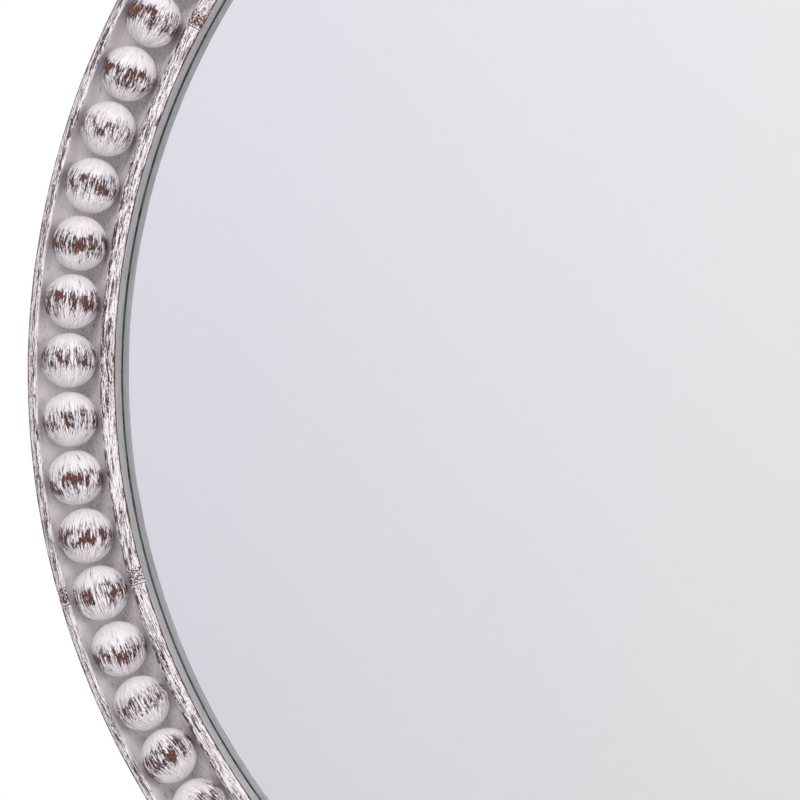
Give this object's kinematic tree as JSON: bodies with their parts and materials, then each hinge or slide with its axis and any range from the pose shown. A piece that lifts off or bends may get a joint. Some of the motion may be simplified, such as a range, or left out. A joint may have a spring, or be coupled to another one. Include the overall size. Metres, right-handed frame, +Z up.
{
  "type": "beaded mirror",
  "caption": "Round wall mirror in a whitewashed, distressed wooden ring, with a row of round wooden beads set in the ring's cove, hung by hinged D rings on its back.",
  "frame": {"origin": "the point on the wall behind the mirror's centre, in the plane of the wall bumpers' faces", "axes": "+Z up, the mirror faces -Y, +X to the right as seen from the front"},
  "size_m": [0.6, 0.0346, 0.6],
  "materials": {
    "ring_wood": "distressed whitewash, brown wood worn through along the edges",
    "bead_wood": "distressed whitewash on turned beads, brown grain worn through",
    "glass": "clear float glass",
    "silvering": "silvered, with grey backing paint",
    "foam": "soft closed-cell foam",
    "hardboard": "plain brown hardboard",
    "clip_steel": "zinc-plated",
    "screw_steel": "zinc-plated",
    "hanger_steel": "nickel-plated",
    "bumper_rubber": "matte"
  },
  "bodies": {
    "mirror": {"frame_segment_1": "ring_wood", "frame_segment_2": "ring_wood", "frame_segment_3": "ring_wood", "frame_segment_4": "ring_wood", "frame_segment_5": "ring_wood", "frame_segment_6": "ring_wood", "frame_segment_7": "ring_wood", "frame_segment_8": "ring_wood", "bead_row_1": "bead_wood", "bead_row_2": "bead_wood", "bead_row_3": "bead_wood", "bead_row_4": "bead_wood", "bead_row_5": "bead_wood", "bead_row_6": "bead_wood", "bead_row_7": "bead_wood", "bead_row_8": "bead_wood", "mirror_glass": "glass", "silver_coat": "silvering", "foam_sheet": "foam", "backing_panel": "hardboard", "retaining_clip_1": "clip_steel", "retaining_clip_2": "clip_steel", "retaining_clip_3": "clip_steel", "retaining_clip_4": "clip_steel", "retaining_clip_5": "clip_steel", "retaining_clip_6": "clip_steel", "retaining_clip_7": "clip_steel", "retaining_clip_8": "clip_steel", "clip_screws": "screw_steel", "hanger_strap_left": "hanger_steel", "hanger_strap_right": "hanger_steel", "hanger_screws": "screw_steel", "wall_bumpers": "bumper_rubber"},
    "d_ring_left": {"d_ring_left": "hanger_steel"},
    "d_ring_right": {"d_ring_right": "hanger_steel"}
  },
  "joints": [
    {"name": "d_ring_left_swing", "type": "hinge", "parent": "mirror", "child": "d_ring_left", "pos_m": [-0.20365, -0.00312, 0.20365], "axis": [-1, 0, 0], "range_deg": [0, 160]},
    {"name": "d_ring_right_swing", "type": "hinge", "parent": "mirror", "child": "d_ring_right", "pos_m": [0.20365, -0.00312, 0.20365], "axis": [-1, 0, 0], "range_deg": [0, 160]}
  ]
}
